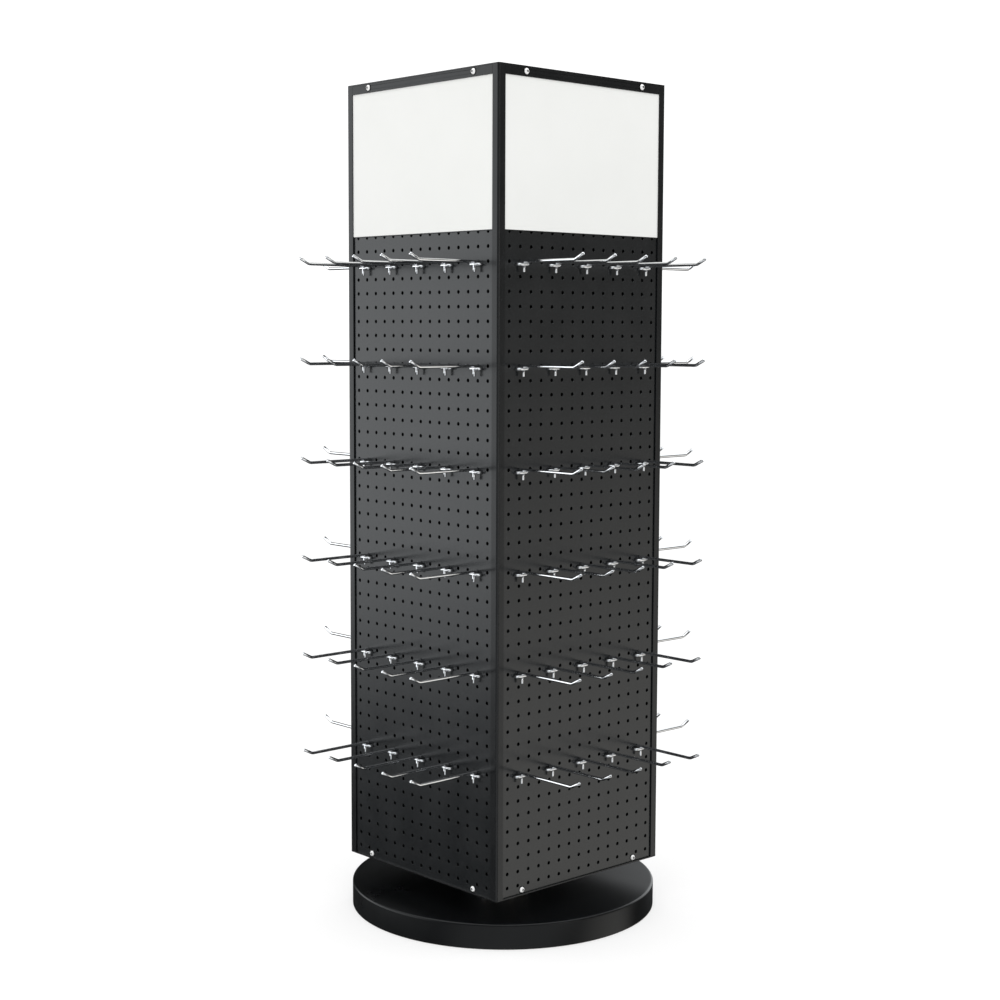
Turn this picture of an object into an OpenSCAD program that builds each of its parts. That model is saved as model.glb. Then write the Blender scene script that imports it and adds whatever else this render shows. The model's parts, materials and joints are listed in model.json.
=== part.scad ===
// Four-sided rotating display rack: a square pegboard tower that turns on a round floor base.
// Units are millimetres. The origin is on the floor, on the axis of rotation, and +Z is up.
// Parts of one side are drawn on the front side, which faces -Y, and are turned to the others.

/* [Overall] */
// Height of the whole rack above the floor
rack_h = 1527; // [1510:1:1560]
// Width of the tower across two opposite sides
tower_w = 412.75; // [408:0.25:425]
// Clear height between the top of the base and the underside of the tower
gap_h = 41.5; // [40:0.5:50]
// Thickness of the square plates that close the tower's ends
plate_t = 2.5; // [2:0.5:3]

/* [Base] */
// Diameter of the round base
base_d = 571.5; // [560:0.5:640]
// Height of the base's top face above the floor
base_top = 46; // [42:1:50]
// Rounding of the base's top rim
base_rim_r = 4; // [3:0.5:6]
// Thickness of the base's outer cover
cover_t = 2; // [1.5:0.5:2]
// Height of the pads that the rack stands on
foot_h = 4; // [3:1:6]
// Number of pads
foot_count = 6; // [4:1:10]
// Thickness of the steel ballast plate under the base
ballast_t = 8; // [6:1:10]

/* [Pegboard] */
// Distance between neighbouring peg holes, both ways
hole_pitch = 25.4; // [25:0.1:25.4]
// Diameter of a peg hole
hole_d = 6.35; // [6:0.05:6.5]
// Peg holes across one panel, an odd number
hole_cols = 15; // [13:2:15]
// Rows of peg holes up one panel
hole_rows = 46; // [42:1:46]
// Height of the lowest row of holes above the underside of the tower
hole_margin = 18.6; // [18.6:0.1:24]
// Thickness of the steel pegboard sheet
panel_t = 1.2; // [1:0.1:1.5]

/* [Frame] */
// Width of a corner post's face on each side
post_face = 15.875; // [15:0.125:18]
// Thickness of a post's walls
lip_t = 1.5; // [1.2:0.1:1.6]
// Rounding of a post's outer edge
post_edge_r = 4.5; // [1:0.5:5]
// Height of the dark band above each header sheet
band_h = 18; // [17:0.5:20]

/* [Header] */
// Thickness of a header sheet
header_t = 1; // [0.8:0.1:1.2]
// Height of the header sheet's lower edge above the top row of hole centres
header_lift = 2.4; // [2:0.1:4]

/* [Hooks] */
// Rows of hooks on each side
hook_rows = 6; // [1:1:6]
// Hooks in one row on one side, an odd number
hooks_per_row = 5; // [1:2:5]
// Hole row of the highest hooks, counted from the top
hook_first_row = 3; // [2:1:8]
// Hole rows between one row of hooks and the next
hook_row_step = 7; // [3:1:7]
// Hole columns between one hook and the next
hook_col_step = 3; // [2:1:3]
// Distance from the pegboard to the tip of a hook
hook_reach = 152.4; // [100:0.1:200]
// Diameter of a hook's arm
arm_d = 5.4; // [4.4:0.1:5.6]
// Diameter of the cross bar and the leg behind the arm
bar_d = 5; // [3.6:0.1:5]
// Angle of the turned-up tip above level
tip_angle = 26; // [20:1:45]
// Length of the turned-up tip from the bend
tip_len = 22; // [20:1:28]

/* [Turntable] */
// Diameter of the upright mast inside the tower
mast_d = 38.1; // [38:0.1:38.2]
// Wall thickness of the mast
mast_wall = 2; // [1.5:0.5:3]
// Diameter of a bearing ball
ball_d = 10; // [9:0.5:10]
// Number of bearing balls
ball_count = 16; // [8:1:18]

/* [Hidden] */
$fn = 64;
FRONT = 0;
RIGHT = 1;
BACK = 2;
LEFT = 3;
eps = 0.01;

// Gaps: between sheets in a groove, between a shaft and its bush, around a bolt, between long ends
sheet_gap = 0.1;
running_gap = 0.08;
bolt_gap = 0.25;
slip_gap = 0.05;
fit_gap = 0.2;
end_gap = 0.3;

// Heights of the tower and distances from its axis
half_w = tower_w / 2;
tower_z0 = base_top + gap_h;
post_z0 = tower_z0 + plate_t;
post_z1 = rack_h - plate_t;
band_z0 = rack_h - band_h;
base_r = base_d / 2;
ballast_z1 = foot_h + ballast_t;

// A post is a ribbed angle with a groove along each leg and a screw port in its core
groove_w = header_t + panel_t + 4 * sheet_gap;
inner_face = lip_t + groove_w + lip_t;
core_w = 7.5;
port_r = 1.75;
port_at = 4.5;

// Depths behind the tower's outer faces, and the edges of the sheets in the grooves
header_depth = lip_t + sheet_gap;
panel_depth = header_depth + header_t + sheet_gap;
sheet_tuck = 5;
sheet_half = half_w - core_w - end_gap;
sheet_z1 = band_z0 + sheet_tuck;
panel_y = -half_w + panel_depth;

// Peg holes
row_1_z = tower_z0 + hole_margin + (hole_rows - 1) * hole_pitch;
header_z0 = row_1_z + header_lift;
ledge_h = 1.8;
function row_z(row) = row_1_z - (row - 1) * hole_pitch;
function col_x(col) = (col - (hole_cols - 1) / 2) * hole_pitch;

// Round-headed screws that show on the four sides, and their washers
screw_x = 142.9;
screw_margin = 9.2;
screw_top_z = rack_h - screw_margin;
screw_bottom_z = tower_z0 + screw_margin;
screw_r = 2.9;
screw_head_r = 5.25;
screw_head_h = 3.3;
screw_socket_r = 2.31;
screw_socket_h = 2;
screw_len = 12;
screw_hole_r = screw_r + bolt_gap;
screw_hole_len = 20;
washer_r = 6.5;
washer_t = 0.8;

// Sunk screws: head radius, shank radius, head height
post_screw = [3.3, 1.7, 2];
post_screw_len = 20;
top_screw = [5, screw_r, 2.2];
top_screw_len = 8.5;
base_bolt = [8, 3.9, 4.2];

// Steel angles that back the panels and the bands
angle_t = 2.5;
angle_leg = 15;
bottom_angle_h = 12.5;
rail_half = half_w - post_face - end_gap / 2;
rail_groove_top = sheet_z1 + 0.5;

// Sheets inside the tower that close the view through the holes; the angles stop short of them
liner_depth = 25;
liner_t = 2;
liner_half = half_w - liner_depth;
liner_gap = 1;
liner_end = half_w - post_face - liner_gap;
flange_end = half_w - inner_face - end_gap;
angle_half = liner_half - liner_t - liner_gap;

// Turntable, from the base upwards
mast_r = mast_d / 2;
bush_r = mast_r + running_gap;
bush_outer_r = 21.5;
flange_r = 75;
flange_t = 8;
bolt_circle_r = 61;
bolt_r = base_bolt[1];
bolt_hole_r = bolt_r + bolt_gap;
bolt_count = 4;
bolt_end = 1.5;
bolt_head_r = 7.5;
bolt_head_h = 5.3;
nut_h = 6.5;
neck_r = 47;
race_r = 25;
race_h = 6;
race_gap = 6;
race_z = tower_z0 - flange_t - 2 * race_h - race_gap;
ball_z = race_z + race_h + race_gap / 2;
ball_circle_r = 36;
groove_r = ball_d / 2 + running_gap;
spigot_r = race_r - fit_gap;
spigot_h = 4;
hub_r = 30;
hub_h = 32;
collar_r = 29;
collar_h = 12;
collar_gap = 0.6;
cage_t = 2.4;
cage_set_in = 3;

// Base
hem_z = 1;
foot_r = 16;
foot_circle_r = 230;
foot_stem_r = 4;
foot_stem_end = 2;
ballast_r = 262;
core_r = base_r - cover_t - bolt_gap;
core_chamfer = 2.5;
cover_hole_r = mast_r + 3;

// Upper bearing under the top plate
top_hub_h = 44;
top_hub_r = 29;
top_flange_r = 45;
top_flange_t = 6;
top_bore_end = 4;
top_screw_circle_r = 36;
upper_bush_h = 26;
mast_z1 = rack_h - 24;

// Wire hooks: the arm lies on the cross bar
arm_r = arm_d / 2;
bar_r = bar_d / 2;
tail_bend_r = 4;
tip_bend_r = 14;
bar_bend_r = 4;
bar_half = 11.5;
bar_stand_off = 8.5;
weld_sink = 0.2;
bar_drop = arm_r + bar_r - weld_sink;
leg_drop = 18;
foot_gap = 0.4;
tail_rise = 18;
tip_lap = 0.5;
tip_step = 0.05;

// Turns a part from the front side to another side
module on_side(side) {
    rotate([0, 0, 90 * side]) children();
}

module on_all_sides() {
    for (side = [FRONT : LEFT]) on_side(side) children();
}

// Places a part at both screw positions of the front side
module at_screws() {
    for (x = [-screw_x, screw_x]) translate([x, 0, 0]) children();
}

// Places count copies around the axis
module around(count, radius, start = 0) {
    for (i = [0 : count - 1]) rotate([0, 0, start + 360 * i / count]) translate([radius, 0, 0]) children();
}

// Upright cylinder from z0 to z1
module rod(radius, z0, z1) {
    translate([0, 0, z0]) cylinder(h = z1 - z0, r = radius);
}

// Upright ring from z0 to z1
module ring(outer_r, inner_r, z0, z1) {
    difference() {
        rod(outer_r, z0, z1);
        rod(inner_r, z0 - 1, z1 + 1);
    }
}

// Bar along X on the front side, between two depths behind the outer face
module front_bar(half_len, depth_0, depth_1, z0, z1) {
    translate([-half_len, -half_w + depth_0, z0]) cube([2 * half_len, depth_1 - depth_0, z1 - z0]);
}

// Round-headed screw at the origin with its head towards -Y
module button_screw() {
    dome_r = (screw_head_r * screw_head_r + screw_head_h * screw_head_h) / (2 * screw_head_h);
    rotate([90, 0, 0]) difference() {
        union() {
            intersection() {
                translate([0, 0, screw_head_h - dome_r]) sphere(dome_r);
                cylinder(h = screw_head_h + 1, r = screw_head_r + 1);
            }
            translate([0, 0, -screw_len]) cylinder(h = screw_len + eps, r = screw_r);
        }
        translate([0, 0, screw_head_h - screw_socket_h])
            cylinder(h = screw_socket_h + 1, r = screw_socket_r, $fn = 6);
    }
}

// Sunk screw [head radius, shank radius, head height] with its flat head at the origin, facing +Z
module sunk_screw(sizes, length) {
    socket_r = 0.42 * sizes[0];
    socket_h = 0.6 * sizes[2];
    difference() {
        union() {
            translate([0, 0, -sizes[2]]) cylinder(h = sizes[2], r1 = sizes[1], r2 = sizes[0]);
            translate([0, 0, -length]) cylinder(h = length - sizes[2] + eps, r = sizes[1]);
        }
        translate([0, 0, -socket_h]) cylinder(h = socket_h + 1, r = socket_r, $fn = 6);
    }
}

// Hole for a sunk screw of those sizes
module sunk_hole(sizes, length) {
    shank_r = sizes[1] + bolt_gap;
    translate([0, 0, -sizes[2]]) cylinder(h = sizes[2] + eps, r1 = shank_r, r2 = sizes[0] + bolt_gap);
    translate([0, 0, -length]) cylinder(h = length, r = shank_r);
}

module hex_nut(z0) {
    difference() {
        translate([0, 0, z0]) cylinder(h = nut_h, r = bolt_head_r, $fn = 6);
        rod(bolt_r + fit_gap / 2, z0 - 1, z0 + nut_h + 1);
    }
}

// ---- Base, which stands still ----

module base_cover() {
    color("#17181a") difference() {
        rotate_extrude() difference() {
            rounded_rim(base_r, base_top, base_rim_r, hem_z);
            rounded_rim(base_r - cover_t, base_top - cover_t, base_rim_r - cover_t, hem_z - 1);
        }
        rod(cover_hole_r, 0, rack_h);
        around(bolt_count, bolt_circle_r, 45) rod(bolt_hole_r, 0, rack_h);
    }
}

// Half section of a disc with a rounded upper rim
module rounded_rim(radius, top, rim_r, bottom) {
    translate([0, bottom]) square([radius - rim_r, top - bottom]);
    translate([0, bottom]) square([radius, top - rim_r - bottom]);
    intersection() {
        translate([radius - rim_r, top - rim_r]) circle(rim_r);
        translate([radius - rim_r - eps, top - rim_r - eps]) square(rim_r + 1);
    }
}

module base_core() {
    chamfer_z = base_top - cover_t - core_chamfer;
    color("#a98a5c") difference() {
        union() {
            rod(core_r, foot_h, chamfer_z);
            translate([0, 0, chamfer_z])
                cylinder(h = core_chamfer, r1 = core_r, r2 = core_r - core_chamfer);
        }
        rod(ballast_r + 0.5, 0, ballast_z1);
        rod(mast_r + bolt_gap, 0, base_top);
        around(bolt_count, bolt_circle_r, 45) rod(bolt_hole_r, 0, base_top);
    }
}

module ballast_plate() {
    color("#55585c") difference() {
        rod(ballast_r, foot_h, ballast_z1);
        translate([0, 0, foot_h]) around(bolt_count, bolt_circle_r, 45)
            mirror([0, 0, 1]) sunk_hole(base_bolt, ballast_t + 1);
        around(foot_count, foot_circle_r) rod(foot_stem_r + fit_gap, 0, ballast_z1 + 1);
    }
}

module base_feet() {
    color("#202020") around(foot_count, foot_circle_r) {
        rod(foot_r, 0, foot_h);
        rod(foot_stem_r, foot_h - eps, ballast_z1 - foot_stem_end);
    }
}

module pedestal() {
    flange_top = base_top + flange_t;
    color("#3a3d40") difference() {
        union() {
            rod(flange_r, base_top, flange_top);
            rod(neck_r, flange_top - eps, race_z);
            rod(spigot_r, race_z - eps, race_z + spigot_h);
        }
        rod(mast_r + slip_gap, base_top - 1, race_z + spigot_h + 1);
        around(bolt_count, bolt_circle_r, 45) rod(bolt_hole_r, base_top - 1, flange_top + 1);
    }
}

module pedestal_bolts() {
    length = base_top + flange_t + nut_h + bolt_end - foot_h;
    color("silver") translate([0, 0, foot_h]) around(bolt_count, bolt_circle_r, 45)
        mirror([0, 0, 1]) sunk_screw(base_bolt, length);
}

module pedestal_nuts() {
    color("silver") around(bolt_count, bolt_circle_r, 45) hex_nut(base_top + flange_t);
}

module mast() {
    color("#8d9094") ring(mast_r, mast_r - mast_wall, ballast_z1, mast_z1);
}

module mast_collar() {
    collar_z = tower_z0 + hub_h + collar_gap;
    color("#2b2d30") ring(collar_r, mast_r + slip_gap, collar_z, collar_z + collar_h);
}

// Bearing washer with a ball groove around it
module race(z0) {
    color("#b9bcc0") difference() {
        ring(neck_r, race_r, z0, z0 + race_h);
        translate([0, 0, ball_z]) rotate_extrude() translate([ball_circle_r, 0]) circle(groove_r);
    }
}

// ---- Ball cage, which turns at half the tower's speed ----

module ball_cage() {
    color("#c8a85a") difference() {
        ring(neck_r - cage_set_in, race_r + cage_set_in, ball_z - cage_t / 2, ball_z + cage_t / 2);
        around(ball_count, ball_circle_r) rod(ball_d / 2 + fit_gap, ball_z - cage_t, ball_z + cage_t);
    }
}

module bearing_balls() {
    color("#d8dadc") around(ball_count, ball_circle_r) translate([0, 0, ball_z]) sphere(d = ball_d);
}

// ---- Tower, which turns on the base ----

module turntable_hub() {
    hub_z = tower_z0 - flange_t;
    color("#3a3d40") difference() {
        union() {
            rod(flange_r, hub_z, tower_z0);
            rod(hub_r, tower_z0 - eps, tower_z0 + hub_h);
            rod(spigot_r, hub_z - spigot_h, hub_z + eps);
        }
        rod(bush_outer_r, hub_z - spigot_h - 1, tower_z0 + hub_h + 1);
        around(bolt_count, bolt_circle_r) rod(bolt_hole_r, hub_z - 1, tower_z0 + 1);
    }
}

module hub_bolts() {
    hub_z = tower_z0 - flange_t;
    color("silver") around(bolt_count, bolt_circle_r) {
        translate([0, 0, hub_z - bolt_head_h]) cylinder(h = bolt_head_h, r = bolt_head_r, $fn = 6);
        rod(bolt_r, hub_z - eps, post_z0 + nut_h + bolt_end);
    }
}

module hub_nuts() {
    color("silver") around(bolt_count, bolt_circle_r) hex_nut(post_z0);
}

module lower_bush() {
    color("#e4e0d2") ring(bush_outer_r, bush_r, tower_z0 - flange_t - spigot_h, tower_z0 + hub_h);
}

// Square end plate with a sunk screw hole over each post; its outer face is at z = 0, facing +Z
module end_plate() {
    difference() {
        translate([-half_w, -half_w, -plate_t]) cube([tower_w, tower_w, plate_t]);
        at_ports() sunk_hole(post_screw, plate_t + 1);
        // The plate's corners are rounded like the posts
        on_all_sides() translate([-half_w, -half_w, -plate_t - 1]) linear_extrude(plate_t + 2) edge_waste();
    }
}

// Places a part over the screw port of every post
module at_ports() {
    on_all_sides() translate([-half_w + port_at, -half_w + port_at, 0]) children();
}

// What rounding takes off a square corner at the origin
module edge_waste() {
    difference() {
        translate([-1, -1]) square(post_edge_r + 1);
        translate([post_edge_r, post_edge_r]) circle(post_edge_r);
    }
}

module bottom_plate() {
    color("#1d1f21") difference() {
        translate([0, 0, tower_z0]) mirror([0, 0, 1]) end_plate();
        rod(hub_r + bolt_gap, tower_z0 - 1, post_z0 + 1);
        around(bolt_count, bolt_circle_r) rod(bolt_hole_r, tower_z0 - 1, post_z0 + 1);
    }
}

module bottom_angles() {
    depth = panel_depth + panel_t + sheet_gap;
    color("#2a2c2e") on_all_sides() difference() {
        union() {
            front_bar(angle_half, depth, depth + angle_t, post_z0, post_z0 + bottom_angle_h);
            front_bar(angle_half, depth, depth + angle_leg, post_z0, post_z0 + angle_t);
        }
        screw_holes(screw_bottom_z);
    }
}

// Horizontal holes for the round-headed screws of the front side
module screw_holes(z) {
    at_screws() translate([0, -half_w - 1, z]) rotate([-90, 0, 0])
        cylinder(h = screw_hole_len, r = screw_hole_r);
}

module post_section() {
    difference() {
        square(post_face);
        edge_waste();
        translate([core_w, lip_t]) square([post_face, groove_w]);
        translate([lip_t, core_w]) square([groove_w, post_face]);
        difference() {
            translate([inner_face, inner_face]) square(post_face);
            square(core_w);
        }
        translate([port_at, port_at]) circle(port_r);
    }
}

module corner_post() {
    color("#36393c") translate([-half_w, -half_w, post_z0])
        linear_extrude(post_z1 - post_z0) post_section();
}

module pegboard_panel() {
    width = 2 * sheet_half;
    height = sheet_z1 - post_z0;
    color("#3b3d40") translate([0, panel_y + panel_t, post_z0]) rotate([90, 0, 0])
        linear_extrude(panel_t) difference() {
            translate([-width / 2, 0]) square([width, height]);
            for (col = [0 : hole_cols - 1], row = [1 : hole_rows])
                translate([col_x(col), row_z(row) - post_z0]) circle(d = hole_d);
            for (x = [-screw_x, screw_x])
                translate([x, screw_bottom_z - post_z0]) circle(screw_hole_r);
        }
}

module header_sheet() {
    color("#f1f2f0") front_bar(sheet_half, header_depth, header_depth + header_t, header_z0, sheet_z1);
}

// Thin strip below each header sheet that carries its lower edge
module header_ledges() {
    color("#111214") on_all_sides()
        front_bar(sheet_half, header_depth, header_depth + header_t, header_z0 - ledge_h, header_z0);
}

module top_rail() {
    color("#3d4043") difference() {
        front_bar(rail_half, 0, inner_face, band_z0, post_z1);
        front_bar(rail_half + 1, lip_t, lip_t + groove_w, band_z0 - 1, rail_groove_top);
        screw_holes(screw_top_z);
    }
}

module top_angles() {
    color("#2a2c2e") on_all_sides() difference() {
        union() {
            front_bar(angle_half, inner_face, inner_face + angle_t, band_z0, post_z1);
            front_bar(angle_half, inner_face, inner_face + angle_leg, post_z1 - angle_t, post_z1);
        }
        screw_holes(screw_top_z);
    }
}

module top_plate() {
    color("#1d1f21") difference() {
        translate([0, 0, rack_h]) end_plate();
        top_screw_holes();
    }
}

module top_screw_holes() {
    translate([0, 0, rack_h]) around(bolt_count, top_screw_circle_r, 45)
        sunk_hole(top_screw, top_screw_len + 1);
}

// Four dark sheets behind the pegboard, clear of the hooks' tails. Each runs past the next one's start
// and carries a flange that closes the view round the corner.
module inner_liner() {
    height = post_z1 - post_z0;
    color("#131415") on_all_sides() translate([0, 0, post_z0]) {
        translate([liner_t - liner_half, -liner_half, 0])
            cube([liner_half - liner_t + liner_end, liner_t, height]);
        translate([liner_end - liner_t, -flange_end, 0])
            cube([liner_t, flange_end - liner_half + liner_t, height]);
    }
}

module top_hub() {
    color("#3a3d40") difference() {
        union() {
            rod(top_flange_r, post_z1 - top_flange_t, post_z1);
            rod(top_hub_r, post_z1 - top_hub_h, post_z1 - top_flange_t + eps);
        }
        rod(bush_outer_r, post_z1 - top_hub_h - 1, post_z1 - top_flange_t - top_bore_end);
        top_screw_holes();
    }
}

module upper_bush() {
    color("#e4e0d2") ring(bush_outer_r, bush_r, post_z1 - top_hub_h, post_z1 - top_hub_h + upper_bush_h);
}

module top_hub_screws() {
    color("#2f3133") translate([0, 0, rack_h]) around(bolt_count, top_screw_circle_r, 45)
        sunk_screw(top_screw, top_screw_len);
}

// One screw down into each post's port, and one up into it
module post_screws() {
    color("#2f3133") {
        translate([0, 0, rack_h]) at_ports() sunk_screw(post_screw, post_screw_len);
        translate([0, 0, tower_z0]) mirror([0, 0, 1]) at_ports() sunk_screw(post_screw, post_screw_len);
    }
}

module band_screws() {
    color("white") on_all_sides() at_screws()
        translate([0, -half_w - washer_t, screw_top_z]) button_screw();
}

module panel_screws() {
    color("white") on_all_sides() at_screws()
        translate([0, panel_y - washer_t, screw_bottom_z]) button_screw();
}

module screw_washers() {
    color("#0c0c0d") on_all_sides() at_screws() {
        translate([0, -half_w, screw_top_z]) washer();
        translate([0, panel_y, screw_bottom_z]) washer();
    }
}

// Flat washer with its back at the origin, facing -Y
module washer() {
    rotate([90, 0, 0]) ring(washer_r, screw_hole_r, 0, washer_t);
}

// Quarter or part bend of a wire: starts at the origin along +X and turns up towards +Z
module wire_bend(wire_r, bend_r, angle) {
    translate([0, 0, bend_r]) rotate([90, 0, 0]) rotate([0, 0, -90])
        rotate_extrude(angle = angle) translate([bend_r, 0]) circle(wire_r);
}

// Straight wire from the origin along +X
module wire(wire_r, length) {
    rotate([0, 90, 0]) cylinder(h = length, r = wire_r);
}

// One hook in its hole: the origin is the hole's centre on the panel's face, +X is outward
module hook() {
    tail_x = -2.5;
    tip_run = tip_len * cos(tip_angle) + arm_r * sin(tip_angle);
    bend_x = hook_reach - tip_run - tip_bend_r * tan(tip_angle / 2);
    tip_straight = tip_len - tip_bend_r * tan(tip_angle / 2);
    union() {
        // Arm, with its turned-up tip
        translate([tail_x, 0, 0]) wire(arm_r, bend_x - tail_x);
        translate([bend_x, 0, 0]) wire_bend(arm_r, tip_bend_r, tip_angle);
        translate([bend_x, 0, tip_bend_r]) rotate([0, -tip_angle, 0]) translate([-tip_lap, 0, -tip_bend_r])
            wire(arm_r - tip_step, tip_straight + tip_lap);
        // Tail, which turns up behind the panel
        translate([tail_x, 0, 0]) mirror([1, 0, 0]) wire_bend(arm_r, tail_bend_r, 90);
        translate([tail_x - tail_bend_r, 0, tail_bend_r]) cylinder(h = tail_rise - tail_bend_r, r = arm_r);
        // Cross bar with its ends turned back to the panel, and the leg below it
        translate([bar_stand_off, 0, -bar_drop]) {
            for (way = [0, 180]) rotate([way, 0, 0]) half_bar();
            translate([0, 0, bar_drop - leg_drop]) cylinder(h = leg_drop - bar_drop, r = bar_r);
        }
    }
}

// Half of the cross bar: from its middle along +Y, then back towards the panel
module half_bar() {
    straight = bar_half - bar_bend_r;
    rotate([0, 0, 90]) wire(bar_r, straight);
    translate([0, straight, 0]) rotate([0, 0, 90]) rotate([-90, 0, 0]) wire_bend(bar_r, bar_bend_r, 90);
    translate([-bar_bend_r, bar_half, 0]) mirror([1, 0, 0])
        wire(bar_r, bar_stand_off - bar_bend_r - foot_gap);
}

module side_hooks() {
    color("#dfe1e3") for (row = [0 : hook_rows - 1], i = [0 : hooks_per_row - 1])
        translate([
            (i - (hooks_per_row - 1) / 2) * hook_col_step * hole_pitch,
            panel_y,
            row_z(hook_first_row + row * hook_row_step)
        ]) rotate([0, 0, -90]) hook();
}

base_cover();
base_core();
ballast_plate();
base_feet();
pedestal();
pedestal_bolts();
pedestal_nuts();
mast();
mast_collar();
race(race_z);  // lower_race
ball_cage();
bearing_balls();
race(race_z + race_h + race_gap);  // upper_race
turntable_hub();
hub_bolts();
hub_nuts();
lower_bush();
bottom_plate();
bottom_angles();
on_side(FRONT) corner_post();  // post_front_left
on_side(RIGHT) corner_post();  // post_front_right
on_side(BACK) corner_post();  // post_back_right
on_side(LEFT) corner_post();  // post_back_left
on_side(FRONT) pegboard_panel();  // panel_front
on_side(RIGHT) pegboard_panel();  // panel_right
on_side(BACK) pegboard_panel();  // panel_back
on_side(LEFT) pegboard_panel();  // panel_left
on_side(FRONT) header_sheet();  // header_front
on_side(RIGHT) header_sheet();  // header_right
on_side(BACK) header_sheet();  // header_back
on_side(LEFT) header_sheet();  // header_left
header_ledges();
on_side(FRONT) top_rail();  // top_rail_front
on_side(RIGHT) top_rail();  // top_rail_right
on_side(BACK) top_rail();  // top_rail_back
on_side(LEFT) top_rail();  // top_rail_left
top_angles();
top_plate();
inner_liner();
top_hub();
upper_bush();
top_hub_screws();
post_screws();
band_screws();
panel_screws();
screw_washers();
on_side(FRONT) side_hooks();  // hooks_front
on_side(RIGHT) side_hooks();  // hooks_right
on_side(BACK) side_hooks();  // hooks_back
on_side(LEFT) side_hooks();  // hooks_left
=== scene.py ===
import json
import math

import bpy
import numpy as np
from mathutils import Matrix, Vector


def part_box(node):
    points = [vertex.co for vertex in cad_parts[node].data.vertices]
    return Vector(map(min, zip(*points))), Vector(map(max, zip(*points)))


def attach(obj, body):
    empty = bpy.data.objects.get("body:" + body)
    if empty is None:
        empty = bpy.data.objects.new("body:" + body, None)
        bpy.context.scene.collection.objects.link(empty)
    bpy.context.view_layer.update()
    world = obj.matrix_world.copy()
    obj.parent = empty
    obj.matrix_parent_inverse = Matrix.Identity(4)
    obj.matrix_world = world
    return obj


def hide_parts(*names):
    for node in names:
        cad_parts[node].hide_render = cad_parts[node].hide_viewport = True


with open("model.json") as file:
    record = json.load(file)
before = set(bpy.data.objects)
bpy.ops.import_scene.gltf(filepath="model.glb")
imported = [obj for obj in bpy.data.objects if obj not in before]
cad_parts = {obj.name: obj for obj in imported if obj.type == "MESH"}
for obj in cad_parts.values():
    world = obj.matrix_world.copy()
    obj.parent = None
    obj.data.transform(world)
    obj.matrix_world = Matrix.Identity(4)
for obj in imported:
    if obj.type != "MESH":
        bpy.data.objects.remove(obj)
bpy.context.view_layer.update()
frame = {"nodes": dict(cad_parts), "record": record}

MM = 0.001
SIDES = ["front", "right", "back", "left"]

# How far the painted shade reaches from a corner on the screws, in metres
SHADE_REACH = 0.004

# Sizes of the rack, in millimetres, where the frame's boxes don't give them
HOLE_PITCH = 25.4
HOLE_R = 3.175
HOLE_COLS = 15
HOLE_ROWS = 46
HOLE_EDGE = 0.3
HOLE_SEGMENTS = 24
HEADER_LIFT = 2.4
POST_FACE = 15.875
POST_EDGE_R = 4.5
POST_LIP = 1.5
POST_GROOVE = 2.6
POST_CORE = 7.5
BASE_RIM_R = 4.0
BASE_COVER_T = 2.0
BASE_HOLE_R = 22.0
SCREW_X = 142.9
SCREW_MARGIN = 9.2
WASHER_T = 0.8
SCREW_HEAD_R = 5.25
SCREW_HEAD_H = 3.3
SCREW_SOCKET_R = 2.31
SCREW_SHANK_R = 2.9
SCREW_LEN = 12.0
SCREW_SOCKET_DEPTH = 2.0
SCREW_LIP = 0.25
HOOK_ROWS = [3, 10, 17, 24, 31, 38]
HOOK_COLS = [-6, -3, 0, 3, 6]
ARM_R = 2.7
BAR_R = 2.5
HOOK_REACH = 152.4
TIP_ANGLE = math.radians(26)
TIP_LEN = 22.0
TIP_BEND_R = 14.0
TAIL_BEND_R = 4.0
TAIL_X = -2.5
TAIL_RISE = 18.0
BAR_BEND_R = 4.0
BAR_HALF = 11.5
BAR_X = 8.5
BAR_Z = -5.0
BAR_FOOT_X = 0.4
LEG_BOTTOM_Z = -18.0
ARM_BEAD = (2.6, 3.0, 1.3)
LEG_BEAD = (2.5, 2.5, 1.0)


def mm_box(node):
    """A CAD node's lowest and highest corner in millimetres."""
    low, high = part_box(node)
    return np.array(low) / MM, np.array(high) / MM


HALF_W = mm_box("bottom_plate")[1][0]
PANEL_LOW, PANEL_HIGH = mm_box("panel_front")
POST_LOW, POST_HIGH = mm_box("post_front_left")
BASE_LOW, BASE_HIGH = mm_box("base_cover")
ROW_1_Z = mm_box("header_front")[0][2] - HEADER_LIFT
SCREW_TOP_Z = mm_box("top_plate")[1][2] - SCREW_MARGIN
SCREW_BOTTOM_Z = mm_box("bottom_plate")[0][2] + SCREW_MARGIN


# ---- Meshes ----

def make_piece(name, verts, faces, material, body, slot, smooth_below=35):
    """A mesh piece from millimetre points, shaded smooth over edges flatter than smooth_below degrees."""
    mesh = bpy.data.meshes.new(name)
    mesh.from_pydata((np.asarray(verts, float) * MM).tolist(), [], faces)
    mesh.validate()
    mesh.polygons.foreach_set("use_smooth", [True] * len(mesh.polygons))
    mesh.set_sharp_from_angle(angle=math.radians(smooth_below))
    mesh.materials.append(material)
    return place_piece(name, mesh, body)


def place_piece(name, mesh, body, turns=0):
    """An object for a mesh, turned about the rack's axis by a number of quarter turns."""
    piece = bpy.data.objects.new(name, mesh)
    bpy.context.scene.collection.objects.link(piece)
    piece.matrix_world = Matrix.Rotation(turns * math.pi / 2, 4, "Z")
    bpy.context.view_layer.update()
    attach(piece, body)
    return piece


def merge_meshes(parts):
    """One list of points and faces from several."""
    verts, faces = [], []
    for part_verts, part_faces in parts:
        start = len(verts)
        verts += [tuple(v) for v in part_verts]
        faces += [tuple(i + start for i in face) for face in part_faces]
    return verts, faces


def moved(part, offset=(0, 0, 0), matrix=None):
    """A part turned by a matrix, then shifted."""
    verts, faces = part
    points = np.asarray(verts, float)
    if matrix is not None:
        points = points @ np.array(matrix.to_3x3()).T
    return points + np.array(offset), faces


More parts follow.
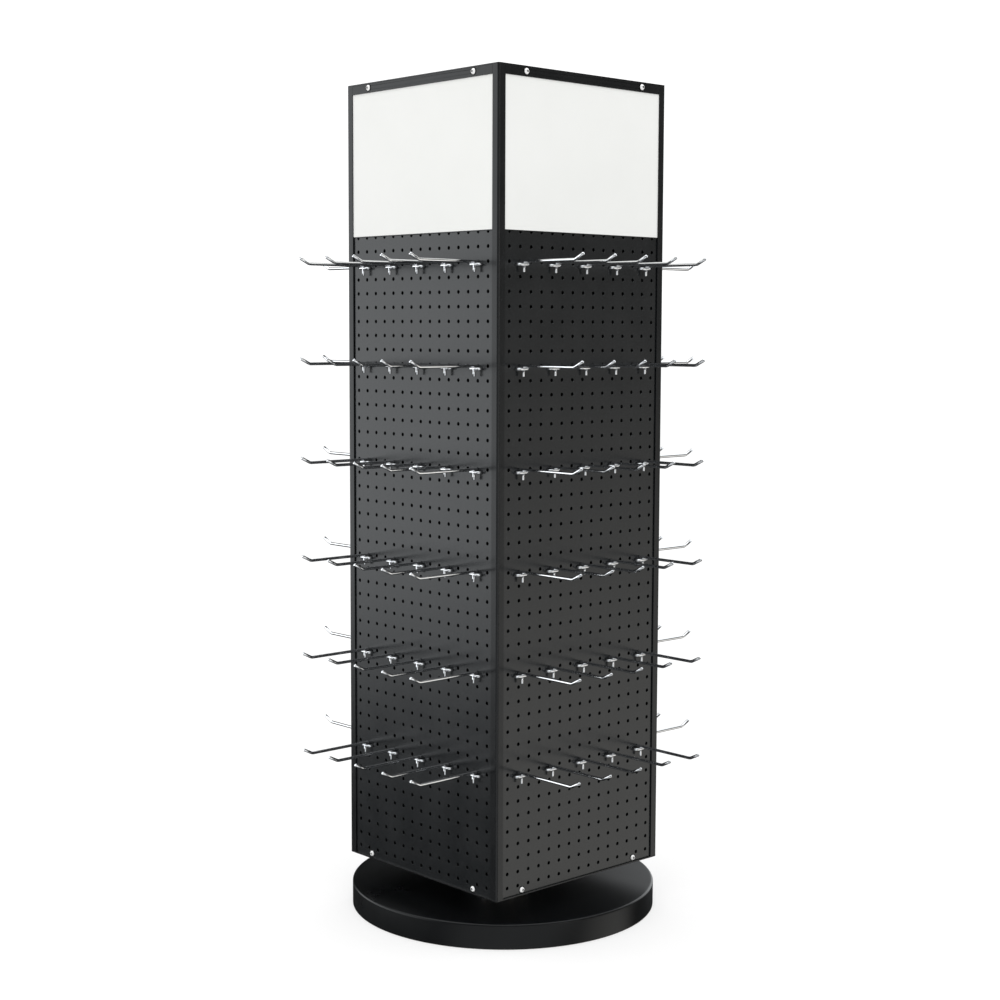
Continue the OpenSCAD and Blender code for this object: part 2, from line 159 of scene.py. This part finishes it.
def loft(rings, closed_ring=True, cap_start=True, cap_end=True):
    """Faces between rings of equal length, with flat caps."""
    count = len(rings[0])
    verts = [tuple(p) for ring in rings for p in ring]
    faces = []
    for i in range(len(rings) - 1):
        for j in range(count if closed_ring else count - 1):
            k = (j + 1) % count
            faces.append((i * count + j, i * count + k, (i + 1) * count + k, (i + 1) * count + j))
    if cap_start:
        faces.append(tuple(range(count - 1, -1, -1)))
    if cap_end:
        last = (len(rings) - 1) * count
        faces.append(tuple(last + j for j in range(count)))
    return verts, faces


def arc(centre, radius, start, end, steps):
    """Points of an arc in a plane, angles in degrees."""
    angles = np.radians(np.linspace(start, end, steps + 1))
    return [(centre[0] + radius * math.cos(a), centre[1] + radius * math.sin(a)) for a in angles]


def lathe(profile, segments=96, closed=False):
    """Turns (radius, z) points about the Z axis. A closed profile makes a ring."""
    rings = []
    for radius, z in profile:
        angles = 2 * math.pi * np.arange(segments) / segments
        rings.append([(radius * math.cos(a), radius * math.sin(a), z) for a in angles])
    if closed:
        rings.append(rings[0])
        verts, faces = loft(rings, cap_start=False, cap_end=False)
        ring_start = (len(rings) - 1) * segments
        faces = [tuple(i - ring_start if i >= ring_start else i for i in face) for face in faces]
        return verts[:ring_start], faces
    return loft(rings)


def wire(path, radius, sides=18, chamfer=0.5):
    """A round wire along a path in one plane, its ends slightly rounded."""
    points = np.asarray(path, float)
    steps = np.diff(points, axis=0)
    steps /= np.linalg.norm(steps, axis=1)[:, None]
    tangents = np.vstack([steps[:1], steps[:-1] + steps[1:], steps[-1:]])
    tangents /= np.linalg.norm(tangents, axis=1)[:, None]
    bends = np.cross(steps[:-1], steps[1:])
    across = max(bends, key=np.linalg.norm, default=np.zeros(3))
    if np.linalg.norm(across) < 1e-9:
        across = np.cross(steps[0], (1, 0, 0) if abs(steps[0][0]) < 0.9 else (0, 1, 0))
    across = across / np.linalg.norm(across)
    first, last = tangents[0], tangents[-1]
    stations = [(points[0], first, radius - chamfer), (points[0] + first * chamfer, first, radius)]
    stations += [(p, t, radius) for p, t in zip(points[1:-1], tangents[1:-1])]
    stations += [(points[-1] - last * chamfer, last, radius), (points[-1], last, radius - chamfer)]
    rings = []
    for point, tangent, ring_radius in stations:
        side = np.cross(tangent, across)
        angles = 2 * math.pi * np.arange(sides) / sides
        rings.append([point + ring_radius * (math.cos(a) * across + math.sin(a) * side) for a in angles])
    return loft(rings)


# ---- Node materials ----

def new_material(name, base, roughness, metallic=0.0, specular=0.5):
    """A Principled material, returned with its node tree and its shader."""
    material = bpy.data.materials.new(name)
    material.use_nodes = True
    shader = material.node_tree.nodes["Principled BSDF"]
    shader.inputs["Base Color"].default_value = (*base, 1)
    shader.inputs["Roughness"].default_value = roughness
    shader.inputs["Metallic"].default_value = metallic
    shader.inputs["Specular IOR Level"].default_value = specular
    return material, material.node_tree, shader


def add_noise(tree, scale, detail=4.0, rough=0.55, stretch=(1, 1, 1)):
    """Noise in object space, in features per metre, stretched along an axis if asked."""
    coords = tree.nodes.new("ShaderNodeTexCoord")
    mapping = tree.nodes.new("ShaderNodeMapping")
    mapping.inputs["Scale"].default_value = stretch
    noise = tree.nodes.new("ShaderNodeTexNoise")
    noise.inputs["Scale"].default_value = scale
    noise.inputs["Detail"].default_value = detail
    noise.inputs["Roughness"].default_value = rough
    tree.links.new(coords.outputs["Object"], mapping.inputs["Vector"])
    tree.links.new(mapping.outputs["Vector"], noise.inputs["Vector"])
    return noise.outputs["Fac"]


def map_range(tree, value, low, high, from_low=0.3, from_high=0.7):
    """Rescales a value: from_low becomes low and from_high becomes high."""
    node = tree.nodes.new("ShaderNodeMapRange")
    node.inputs["From Min"].default_value = from_low
    node.inputs["From Max"].default_value = from_high
    node.inputs["To Min"].default_value = low
    node.inputs["To Max"].default_value = high
    tree.links.new(value, node.inputs["Value"])
    return node.outputs["Result"]


def mix_colours(tree, factor, first, second):
    """Blends two colours, each a plain colour or another node's output."""
    node = tree.nodes.new("ShaderNodeMix")
    node.data_type = "RGBA"
    for socket, colour in (("A", first), ("B", second)):
        target = [i for i in node.inputs if i.name == socket and i.type == "RGBA"][0]
        if isinstance(colour, tuple):
            target.default_value = (*colour, 1)
        else:
            tree.links.new(colour, target)
    tree.links.new(factor, [i for i in node.inputs if i.name == "Factor" and i.type == "VALUE"][0])
    return [o for o in node.outputs if o.type == "RGBA"][0]


def add_bump(tree, shader, height, strength, distance):
    """Relief on the surface, its depth in metres."""
    node = tree.nodes.new("ShaderNodeBump")
    node.inputs["Strength"].default_value = strength
    node.inputs["Distance"].default_value = distance
    tree.links.new(height, node.inputs["Height"])
    tree.links.new(node.outputs["Normal"], shader.inputs["Normal"])


def powder_coat(name, dark, light, roughness, grain=900, bump=0.08, specular=0.5):
    """Powder coat: fine grain in the surface, pale flecks and a faint mottle in the colour."""
    material, tree, shader = new_material(name, dark, roughness, specular=specular)
    grain_noise = add_noise(tree, grain, detail=3)
    mottle = add_noise(tree, 14, detail=5)
    fleck = add_noise(tree, 420, detail=2)
    mottled = mix_colours(tree, map_range(tree, mottle, 0, 1), dark, light)
    pale = tuple(2 * c for c in light)
    flecked = mix_colours(tree, map_range(tree, fleck, 0, 0.6, 0.56, 0.75), mottled, pale)
    tree.links.new(flecked, shader.inputs["Base Color"])
    tree.links.new(map_range(tree, mottle, roughness - 0.01, roughness + 0.02), shader.inputs["Roughness"])
    add_bump(tree, shader, grain_noise, bump, 0.0002)
    return material


def satin_enamel():
    """Base: smooth black enamel with a trace of orange peel and dust."""
    material, tree, shader = new_material("base_enamel", (0.005, 0.006, 0.007), 0.29, specular=0.26)
    peel = add_noise(tree, 260, detail=2)
    haze = add_noise(tree, 9, detail=6)
    dust = add_noise(tree, 1500, detail=1)
    hazed = mix_colours(tree, map_range(tree, haze, 0, 1), (0.002, 0.0022, 0.0025), (0.004, 0.0045, 0.005))
    dusted = mix_colours(tree, map_range(tree, dust, 0, 0.5, 0.70, 0.80), hazed, (0.03, 0.03, 0.03))
    tree.links.new(dusted, shader.inputs["Base Color"])
    tree.links.new(map_range(tree, haze, 0.27, 0.32), shader.inputs["Roughness"])
    add_bump(tree, shader, peel, 0.05, 0.0003)
    return material


def chrome_plate():
    """Hooks: bright chrome with faint drawing lines and smudges."""
    material, tree, shader = new_material("hook_chrome", (0.86, 0.87, 0.88), 0.1, metallic=1.0)
    smudge = add_noise(tree, 45, detail=5)
    scratch = add_noise(tree, 1800, detail=2, stretch=(1, 1, 0.15))
    tint = mix_colours(tree, map_range(tree, smudge, 0, 1), (0.80, 0.81, 0.83), (0.93, 0.93, 0.94))
    tree.links.new(tint, shader.inputs["Base Color"])
    tree.links.new(map_range(tree, smudge, 0.08, 0.15), shader.inputs["Roughness"])
    add_bump(tree, shader, scratch, 0.04, 0.0001)
    return material


def metal(name, dark, light, roughness, grain=700, stretch=(1, 1, 1), bump=0.06):
    """Plain, plated or ground metal: a two-tone mottle with fine lines."""
    material, tree, shader = new_material(name, dark, roughness, metallic=1.0)
    cloud = add_noise(tree, 30, detail=6)
    lines = add_noise(tree, grain, detail=3, stretch=stretch)
    tree.links.new(mix_colours(tree, map_range(tree, cloud, 0, 1), dark, light), shader.inputs["Base Color"])
    tree.links.new(map_range(tree, lines, roughness - 0.06, roughness + 0.10), shader.inputs["Roughness"])
    add_bump(tree, shader, lines, bump, 0.0001)
    return material


def nickel_plate():
    """Screws: bright nickel, with painted shade darkening the socket and where the head meets its washer."""
    tint = (0.92, 0.92, 0.92)
    material, tree, shader = new_material("nickel_plate", tint, 0.3, metallic=0.25, specular=0.3)
    cloud = add_noise(tree, 30, detail=6)
    lines = add_noise(tree, 1600, detail=3)
    nickel_tint = mix_colours(tree, map_range(tree, cloud, 0, 1), (0.90, 0.90, 0.90), (0.95, 0.95, 0.94))
    # Painted shade: an ambient-occlusion mask darkens the colour to near black in the socket and round the
    # head's foot
    openness = tree.nodes.new("ShaderNodeAmbientOcclusion")
    openness.inputs["Distance"].default_value = SHADE_REACH
    unshaded = map_range(tree, openness.outputs["AO"], 0, 1, 0.55, 0.85)
    tree.links.new(mix_colours(tree, unshaded, (0.01, 0.01, 0.01), nickel_tint), shader.inputs["Base Color"])
    tree.links.new(map_range(tree, lines, 0.24, 0.40), shader.inputs["Roughness"])
    add_bump(tree, shader, lines, 0.06, 0.0001)
    return material


def plastic(name, dark, light, roughness, grain=600, bump=0.05, specular=0.5):
    """Moulded or sheet plastic, or rubber: slight clouding and a fine surface grain."""
    material, tree, shader = new_material(name, dark, roughness, specular=specular)
    cloud = add_noise(tree, 7, detail=5)
    grain_noise = add_noise(tree, grain, detail=3)
    tree.links.new(mix_colours(tree, map_range(tree, cloud, 0, 1), dark, light), shader.inputs["Base Color"])
    grainy = map_range(tree, grain_noise, roughness - 0.04, roughness + 0.06)
    tree.links.new(grainy, shader.inputs["Roughness"])
    add_bump(tree, shader, grain_noise, bump, 0.0002)
    return material


def fibreboard():
    """Raw fibreboard: brown fibres pressed flat, with darker specks."""
    material, tree, shader = new_material("fibreboard", (0.36, 0.26, 0.15), 0.85, specular=0.3)
    fibres = add_noise(tree, 350, detail=6, stretch=(1, 0.4, 2.5))
    specks = add_noise(tree, 900, detail=2)
    fibred = mix_colours(tree, map_range(tree, fibres, 0, 1), (0.30, 0.21, 0.12), (0.46, 0.34, 0.20))
    speckled = mix_colours(tree, map_range(tree, specks, 0, 0.6, 0.62, 0.75), fibred, (0.16, 0.11, 0.06))
    tree.links.new(speckled, shader.inputs["Base Color"])
    add_bump(tree, shader, fibres, 0.3, 0.0003)
    return material


MATERIALS = {
    "frame_black": powder_coat("frame_powder_coat", (0.005, 0.0055, 0.006), (0.008, 0.0085, 0.009), 0.22,
                               grain=1200, specular=0.32),
    "pegboard_black": powder_coat("pegboard_powder_coat", (0.005, 0.0058, 0.0065),
                                  (0.008, 0.0088, 0.0095), 0.23),
    "base_black": satin_enamel(),
    "turntable_grey": powder_coat("turntable_paint", (0.05, 0.053, 0.057), (0.08, 0.084, 0.09), 0.42),
    "fibreboard": fibreboard(),
    "plain_steel": metal("plain_steel", (0.36, 0.365, 0.38), (0.50, 0.505, 0.52), 0.36, stretch=(1, 1, 0.1)),
    "zinc_steel": metal("zinc_plate", (0.60, 0.61, 0.64), (0.76, 0.76, 0.76), 0.28),
    "bearing_steel": metal("bearing_steel", (0.62, 0.63, 0.65), (0.74, 0.75, 0.77), 0.12, grain=1400),
    "brass": metal("cage_brass", (0.62, 0.44, 0.18), (0.76, 0.58, 0.28), 0.30),
    "nylon": plastic("nylon", (0.70, 0.67, 0.58), (0.80, 0.78, 0.70), 0.45),
    "rubber": plastic("rubber", (0.018, 0.018, 0.018), (0.030, 0.030, 0.030), 0.72, bump=0.2),
    "header_white": plastic("header_sheet", (0.745, 0.752, 0.732), (0.768, 0.774, 0.756), 0.5,
                            grain=900, bump=0.04, specular=0.15),
    "black_screws": metal("black_oxide", (0.030, 0.030, 0.032), (0.050, 0.050, 0.053), 0.38),
    "bright_screws": nickel_plate(),
    "washer_black": plastic("washer_nylon", (0.004, 0.004, 0.004), (0.007, 0.007, 0.007), 0.6, specular=0.08),
    "liner_black": plastic("liner_board", (0.004, 0.004, 0.004), (0.007, 0.007, 0.007), 0.9, bump=0.2),
    "hook_chrome": chrome_plate(),
}


# ---- Pieces that replace CAD nodes ----

def hole_cell(square, circle):
    """One square cell with a soft-edged hole through the sheet, centred on x = z = 0."""
    front, back = PANEL_LOW[1], PANEL_HIGH[1]
    wide, narrow = circle * (HOLE_R + HOLE_EDGE), circle * HOLE_R
    rings = [(square, front), (wide, front), (narrow, front + HOLE_EDGE),
             (narrow, back - HOLE_EDGE), (wide, back), (square, back)]
    return loft([[(x, y, z) for x, z in ring] for ring, y in rings], cap_start=False, cap_end=False)


def pegboard_margin(columns, lines, ticks):
    """Plain cells round the grid of holes, with a point wherever a neighbouring cell has one."""
    verts, faces = [], []
    last_column, last_line = len(columns) - 1, len(lines) - 1
    for c, (x0, x1) in enumerate(columns):
        for r, (z0, z1) in enumerate(lines):
            is_cell_column, is_cell_line = 0 < c < last_column, 0 < r < last_line
            if is_cell_column and is_cell_line:
                continue
            x_ticks = [(x0 + x1) / 2 + t for t in ticks] if is_cell_column else []
            z_ticks = [(z0 + z1) / 2 + t for t in ticks] if is_cell_line else []
            outline = [(x0, z0)] + [(x, z0) for x in x_ticks] * (r == last_line) + [(x1, z0)]
            outline += [(x1, z) for z in z_ticks] * (c == 0) + [(x1, z1)]
            outline += [(x, z1) for x in x_ticks[::-1]] * (r == 0) + [(x0, z1)]
            outline += [(x0, z) for z in z_ticks[::-1]] * (c == last_column)
            for y, order in ((PANEL_LOW[1], 1), (PANEL_HIGH[1], -1)):
                start = len(verts)
                verts += [(x, y, z) for x, z in outline]
                faces.append(tuple(start + i for i in range(len(outline)))[::order])
    return verts, faces


def pegboard_rim(columns, lines):
    """The sheet's four narrow edges."""
    points = [(x, PANEL_LOW[2]) for x, _ in columns] + [(PANEL_HIGH[0], z) for z, _ in lines]
    points += [(x, PANEL_HIGH[2]) for _, x in columns[::-1]]
    points += [(PANEL_LOW[0], z) for _, z in lines[::-1]]
    rings = [[(x, y, z) for x, z in points] for y in (PANEL_HIGH[1], PANEL_LOW[1])]
    return loft(rings, cap_start=False, cap_end=False)


def pegboard_mesh():
    """A perforated sheet: a square cell to each hole, and plain cells in the margin."""
    half = HOLE_PITCH / 2
    xs = [(i - HOLE_COLS / 2) * HOLE_PITCH for i in range(HOLE_COLS + 1)]
    zs = [ROW_1_Z + half - i * HOLE_PITCH for i in range(HOLE_ROWS + 1)][::-1]
    columns = [(PANEL_LOW[0], xs[0])] + list(zip(xs[:-1], xs[1:])) + [(xs[-1], PANEL_HIGH[0])]
    lines = [(PANEL_LOW[2], zs[0])] + list(zip(zs[:-1], zs[1:])) + [(zs[-1], PANEL_HIGH[2])]
    angles = 2 * math.pi * np.arange(HOLE_SEGMENTS) / HOLE_SEGMENTS
    circle = np.stack([np.cos(angles), np.sin(angles)], 1)
    square = circle / np.abs(circle).max(1)[:, None] * half
    ticks = sorted({round(float(t), 9) for t in square[:, 1] if abs(abs(t) - half) > 1e-6})
    cell = hole_cell(square, circle)
    parts = [moved(cell, (x + half, 0, z + half)) for x in xs[:-1] for z in zs[:-1]]
    parts += [pegboard_margin(columns, lines, ticks), pegboard_rim(columns, lines)]
    return weld_points(*merge_meshes(parts))


def weld_points(verts, faces):
    """Joins points that lie in the same place."""
    keys = np.round(np.asarray(verts, float), 5)
    unique, index = np.unique(keys, axis=0, return_inverse=True)
    index = index.reshape(-1)
    return unique, [tuple(int(index[i]) for i in face) for face in faces]


def post_mesh():
    """A corner post: its section is drawn from its outer corner and extruded, with a rounded outer edge."""
    lip_edge = 0.3
    inner = POST_LIP + POST_GROOVE
    skin = inner + POST_LIP
    leg = [(POST_FACE - lip_edge, 0), (POST_FACE, lip_edge), (POST_FACE, POST_LIP), (POST_CORE, POST_LIP),
           (POST_CORE, inner), (POST_FACE, inner), (POST_FACE, skin), (POST_CORE, skin)]
    section = arc((POST_EDGE_R, POST_EDGE_R), POST_EDGE_R, 180, 270, 14)
    section += leg + [(POST_CORE, POST_CORE)] + [(y, x) for x, y in leg[::-1]]
    rings = [[(x - HALF_W, y - HALF_W, z) for x, y in section] for z in (POST_LOW[2], POST_HIGH[2])]
    return loft(rings)


def base_cover_mesh():
    """The formed cover: a flat top in a few rings, a rounded rim and a straight skirt, with its thickness."""
    radius, hem, top = BASE_HIGH[0], BASE_LOW[2], BASE_HIGH[2]
    inner_r = radius - BASE_COVER_T
    rim = arc((radius - BASE_RIM_R, top - BASE_RIM_R), BASE_RIM_R, 0, 90, 12)
    inner_rim_r = BASE_RIM_R - BASE_COVER_T
    inner_rim = arc((inner_r - inner_rim_r, top - BASE_COVER_T - inner_rim_r), inner_rim_r, 90, 0, 6)
    flat = [(radius - BASE_RIM_R - d, top) for d in (3, 60, 140)]
    profile = [(radius - 0.4, hem), (radius, hem + 0.4)] + rim + flat + [(BASE_HOLE_R, top)]
    profile += [(BASE_HOLE_R, top - BASE_COVER_T)] + inner_rim + [(inner_r, hem)]
    return lathe(profile, segments=288, closed=True)


def button_screw_mesh():
    """A domed screw head with a hexagonal socket, and its shank. The head looks along -Y."""
    segments = 48
    dome_r = (SCREW_HEAD_R ** 2 + SCREW_HEAD_H ** 2) / (2 * SCREW_HEAD_H)
    centre = SCREW_HEAD_H - dome_r
    angles = 2 * math.pi * np.arange(segments) / segments
    circle = np.stack([np.cos(angles), np.sin(angles)], 1)
    wedge = (angles % (math.pi / 3)) - math.pi / 6
    hexagon = circle * (math.cos(math.pi / 6) / np.cos(wedge))[:, None]
    rings = [[(SCREW_SHANK_R * x, SCREW_SHANK_R * y, -SCREW_LEN) for x, y in circle],
             [(SCREW_SHANK_R * x, SCREW_SHANK_R * y, 0) for x, y in circle]]
    rings.append([(SCREW_HEAD_R * x, SCREW_HEAD_R * y, 0) for x, y in circle])
    for step in range(1, 9):
        r = SCREW_HEAD_R - (SCREW_HEAD_R - SCREW_SOCKET_R - SCREW_LIP) * step / 8
        rings.append([(r * x, r * y, centre + math.sqrt(dome_r ** 2 - r ** 2)) for x, y in circle])
    lip_z = rings[-1][0][2]
    rings.append([(SCREW_SOCKET_R * x, SCREW_SOCKET_R * y, lip_z - 0.15) for x, y in hexagon])
    socket_z = SCREW_HEAD_H - SCREW_SOCKET_DEPTH
    rings.append([(SCREW_SOCKET_R * x, SCREW_SOCKET_R * y, socket_z) for x, y in hexagon])
    return moved(loft(rings), matrix=Matrix.Rotation(math.pi / 2, 3, "X"))


def weld_bead(radii, z):
    """A flattened ball where a wire meets the cross bar."""
    angles = np.linspace(-math.pi / 2, math.pi / 2, 9)
    ball, faces = lathe([(max(math.cos(a), 0.02), math.sin(a)) for a in angles], segments=16)
    return np.asarray(ball) * radii + (0, -BAR_X, z), faces


def hook_mesh():
    """One wire hook. The origin is the hole's centre on the panel's face, and -Y is outward."""
    tip_run = TIP_LEN * math.cos(TIP_ANGLE) + ARM_R * math.sin(TIP_ANGLE)
    corner = TIP_BEND_R * math.tan(TIP_ANGLE / 2)
    bend_x = HOOK_REACH - tip_run - corner
    arm = [(TAIL_X - TAIL_BEND_R, TAIL_RISE)]
    arm += arc((TAIL_X, TAIL_BEND_R), TAIL_BEND_R, 180, 270, 6)
    arm += arc((bend_x, TIP_BEND_R), TIP_BEND_R, -90, -90 + math.degrees(TIP_ANGLE), 8)
    end = TIP_LEN - corner
    arm.append((arm[-1][0] + end * math.cos(TIP_ANGLE), arm[-1][1] + end * math.sin(TIP_ANGLE)))
    straight = BAR_HALF - BAR_BEND_R
    bar = [(BAR_FOOT_X, BAR_HALF)] + arc((BAR_X - BAR_BEND_R, straight), BAR_BEND_R, 90, 0, 6)
    bar += [(x, -y) for x, y in bar[::-1]]
    parts = [wire([(0, -x, z) for x, z in arm], ARM_R, sides=20)]
    parts.append(wire([(y, -x, BAR_Z) for x, y in bar], BAR_R))
    parts.append(wire([(0, -BAR_X, BAR_Z), (0, -BAR_X, LEG_BOTTOM_Z)], BAR_R))
    parts.append(weld_bead(ARM_BEAD, BAR_Z / 2 - 0.2))
    parts.append(weld_bead(LEG_BEAD, BAR_Z - BAR_R))
    return merge_meshes(parts)


def side_hooks_mesh():
    """The hooks of one side, in rows."""
    hook = hook_mesh()
    places = [(col * HOLE_PITCH, PANEL_LOW[1], ROW_1_Z - (row - 1) * HOLE_PITCH)
              for row in HOOK_ROWS for col in HOOK_COLS]
    return merge_meshes([moved(hook, place) for place in places])


def one_per_side(name, mesh_part, slot, old_names, smooth_below=35):
    """Makes the piece for the front side and turns copies of it to the other sides."""
    first = make_piece(name + "_front", *mesh_part, MATERIALS[slot], "tower", slot, smooth_below)
    pieces = [first]
    for turns, side in list(enumerate(SIDES))[1:]:
        pieces.append(place_piece(f"{name}_{side}", first.data, "tower", turns))
    for piece, old in zip(pieces, old_names):
        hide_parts(old)
    return pieces


def build_screws(name, node, y, z):
    """Two screws on every side at one height."""
    screw = button_screw_mesh()
    parts = []
    for turns in range(4):
        turn = Matrix.Rotation(turns * math.pi / 2, 3, "Z")
        for x in (-SCREW_X, SCREW_X):
            parts.append(moved(moved(screw, (x, y, z)), matrix=turn))
    piece = make_piece(name, *merge_meshes(parts), MATERIALS["bright_screws"], "tower", "bright_screws", 25)
    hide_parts(node)


def build_pieces():
    """Every mesh piece, in place of its CAD node."""
    one_per_side("pegboard", pegboard_mesh(), "pegboard_black", ["panel_" + s for s in SIDES], 30)
    posts = ["post_front_left", "post_front_right", "post_back_right", "post_back_left"]
    one_per_side("corner_post", post_mesh(), "frame_black", posts, 30)
    one_per_side("wire_hooks", side_hooks_mesh(), "hook_chrome", ["hooks_" + s for s in SIDES], 50)
    cover = make_piece("base_shell", *base_cover_mesh(), MATERIALS["base_black"], "base", "base_black", 30)
    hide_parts("base_cover")
    build_screws("button_screws_top", "band_screws", -HALF_W - WASHER_T, SCREW_TOP_Z)
    build_screws("button_screws_bottom", "panel_screws", PANEL_LOW[1] - WASHER_T, SCREW_BOTTOM_Z)


def dress_cad_nodes():
    """The other CAD nodes stay: each gets its slot's material and softly broken edges."""
    slots = {part["node"]: part["material_slot"] for part in frame["record"]["subparts"]}
    for name, node in frame["nodes"].items():
        node.data.materials.clear()
        node.data.materials.append(MATERIALS[slots[name]])
        weld = node.modifiers.new("weld", "WELD")
        weld.merge_threshold = 1e-6
        edge = node.modifiers.new("edge", "BEVEL")
        edge.width = 0.0003
        edge.segments = 2
        edge.limit_method = "ANGLE"
        edge.angle_limit = math.radians(40)


# ---- Studio ----

def build_floor():
    """A wide pale floor. Reflections don't see it, so dark gloss stays dark."""
    size = 60
    mesh = bpy.data.meshes.new("studio_floor")
    corners = [(-size, -size, 0), (size, -size, 0), (size, size, 0), (-size, size, 0)]
    mesh.from_pydata(corners, [], [(0, 1, 2, 3)])
    material, tree, shader = new_material("studio_floor", (0.45, 0.45, 0.45), 0.9, specular=0.0)
    mottle = add_noise(tree, 0.7, detail=3)
    mottled = mix_colours(tree, mottle, (0.44, 0.44, 0.44), (0.46, 0.46, 0.46))
    tree.links.new(mottled, shader.inputs["Base Color"])
    shader.inputs["Emission Color"].default_value = (1, 1, 1, 1)
    shader.inputs["Emission Strength"].default_value = 0.56
    mesh.materials.append(material)
    floor = bpy.data.objects.new("studio_floor", mesh)
    floor.visible_glossy = False
    bpy.context.scene.collection.objects.link(floor)


def add_math(tree, operation, first, second):
    """A sum or product of two values."""
    node = tree.nodes.new("ShaderNodeMath")
    node.operation = operation
    for socket, value in zip(node.inputs, (first, second)):
        if isinstance(value, (int, float)):
            socket.default_value = value
        else:
            tree.links.new(value, socket)
    return node.outputs[0]


def smooth_step(tree, value, start, end):
    """0 at start, 1 at end, with a soft rise between."""
    node = tree.nodes.new("ShaderNodeMapRange")
    node.interpolation_type = "SMOOTHSTEP"
    node.inputs["From Min"].default_value = start
    node.inputs["From Max"].default_value = end
    tree.links.new(value, node.inputs["Value"])
    return node.outputs["Result"]


def along(tree, sky, direction):
    """How far a sky direction points along another."""
    node = tree.nodes.new("ShaderNodeVectorMath")
    node.operation = "DOT_PRODUCT"
    node.inputs[1].default_value = Vector(direction).normalized()
    tree.links.new(sky, node.inputs[0])
    return node.outputs["Value"]


def add_softbox(tree, sky, azimuth, elevation, core, reach, strength, floor_line=None):
    """Light from a round patch of sky: full out to the core angle, none beyond the reach angle."""
    turn, lift = math.radians(azimuth), math.radians(elevation)
    middle = (math.cos(turn) * math.cos(lift), math.sin(turn) * math.cos(lift), math.sin(lift))
    dark_at, full_at = math.cos(math.radians(reach)), math.cos(math.radians(core))
    cone = smooth_step(tree, along(tree, sky, middle), dark_at, full_at)
    glow = add_math(tree, "MULTIPLY", cone, strength)
    if floor_line is not None:
        low, high = floor_line
        glow = add_math(tree, "MULTIPLY", glow, smooth_step(tree, along(tree, sky, (0, 0, 1)), low, high))
    return glow


def softbox_studio(tree):
    """What reflections see: a dark studio with cool softboxes on the left and overhead, warm on the right."""
    sky = tree.nodes.new("ShaderNodeTexCoord").outputs["Generated"]
    cool = [
        0.018,
        add_softbox(tree, sky, -140, 0, 26, 50, 1.95, floor_line=(-0.22, -0.15)),
        add_softbox(tree, sky, 0, 90, 28, 52, 2.0),
        add_softbox(tree, sky, 102, 18, 10, 36, 2.0),
        add_softbox(tree, sky, -42, -30, 20, 52, 0.75),
    ]
    warm = [
        add_softbox(tree, sky, 43, -26, 10, 29, 1.15),
        add_softbox(tree, sky, 43, 14, 8, 30, 0.20),
        add_softbox(tree, sky, 2, 0, 5, 15, 2.0),
    ]
    studio = tree.nodes.new("ShaderNodeAddShader")
    tints = ((0.95, 0.98, 1.0), (1.0, 0.985, 0.94))
    for socket, tint, softboxes in zip(studio.inputs, tints, (cool, warm)):
        total = softboxes[0]
        for softbox in softboxes[1:]:
            total = add_math(tree, "ADD", softbox, total)
        background = add_background(tree, tint)
        tree.links.new(total, background.inputs["Strength"])
        tree.links.new(background.outputs["Background"], socket)
    return studio.outputs["Shader"]


def add_background(tree, tint, strength=1.0):
    """A background shader of one colour."""
    background = tree.nodes.new("ShaderNodeBackground")
    background.inputs["Color"].default_value = (*tint, 1)
    background.inputs["Strength"].default_value = strength
    return background


def build_world():
    """Even white light all round for matt surfaces, and the softbox studio for reflections."""
    world = bpy.data.worlds.new("studio")
    bpy.context.scene.world = world
    world.use_nodes = True
    world.cycles.sampling_method = "NONE"
    tree = world.node_tree
    tree.nodes.clear()
    even = add_background(tree, (1, 1, 1), 1.16)
    mix = tree.nodes.new("ShaderNodeMixShader")
    output = tree.nodes.new("ShaderNodeOutputWorld")
    path = tree.nodes.new("ShaderNodeLightPath")
    tree.links.new(path.outputs["Is Glossy Ray"], mix.inputs["Fac"])
    tree.links.new(even.outputs["Background"], mix.inputs[1])
    tree.links.new(softbox_studio(tree), mix.inputs[2])
    tree.links.new(mix.outputs["Shader"], output.inputs["Surface"])


def build_lights():
    """A soft lamp high above, for the shadow under the rack."""
    top = bpy.data.lights.new("top_softbox", "AREA")
    top.shape = "RECTANGLE"
    top.size, top.size_y = 3.0, 3.0
    top.energy = 30
    lamp = bpy.data.objects.new("top_softbox", top)
    lamp.location = (0.3, -0.5, 4.2)
    lamp.visible_camera = False
    lamp.visible_glossy = False
    bpy.context.scene.collection.objects.link(lamp)


def build_camera():
    """The camera stands off the near corner, a little above the rack's middle, and looks slightly down."""
    yaw, pitch, roll = math.radians(137.403), math.radians(-5.535), math.radians(0.191)
    forward = Vector((math.cos(pitch) * math.cos(yaw), math.cos(pitch) * math.sin(yaw), math.sin(pitch)))
    level = Vector((math.sin(yaw), -math.cos(yaw), 0))
    upright = level.cross(forward)
    right = level * math.cos(roll) + upright * math.sin(roll)
    up = upright * math.cos(roll) - level * math.sin(roll)
    data = bpy.data.cameras.new("camera")
    data.sensor_width = 36
    data.lens = 63.33
    data.clip_end = 200
    camera = bpy.data.objects.new("camera", data)
    axes = Matrix((right, up, -forward)).transposed().to_4x4()
    camera.matrix_world = Matrix.Translation((2.4077, -2.2245, 1.0829)) @ axes
    bpy.context.scene.collection.objects.link(camera)
    bpy.context.scene.camera = camera


build_camera()
dress_cad_nodes()
build_pieces()
build_floor()
build_world()
build_lights()
bpy.context.scene.view_settings.view_transform = "Standard"
bpy.context.view_layer.update()
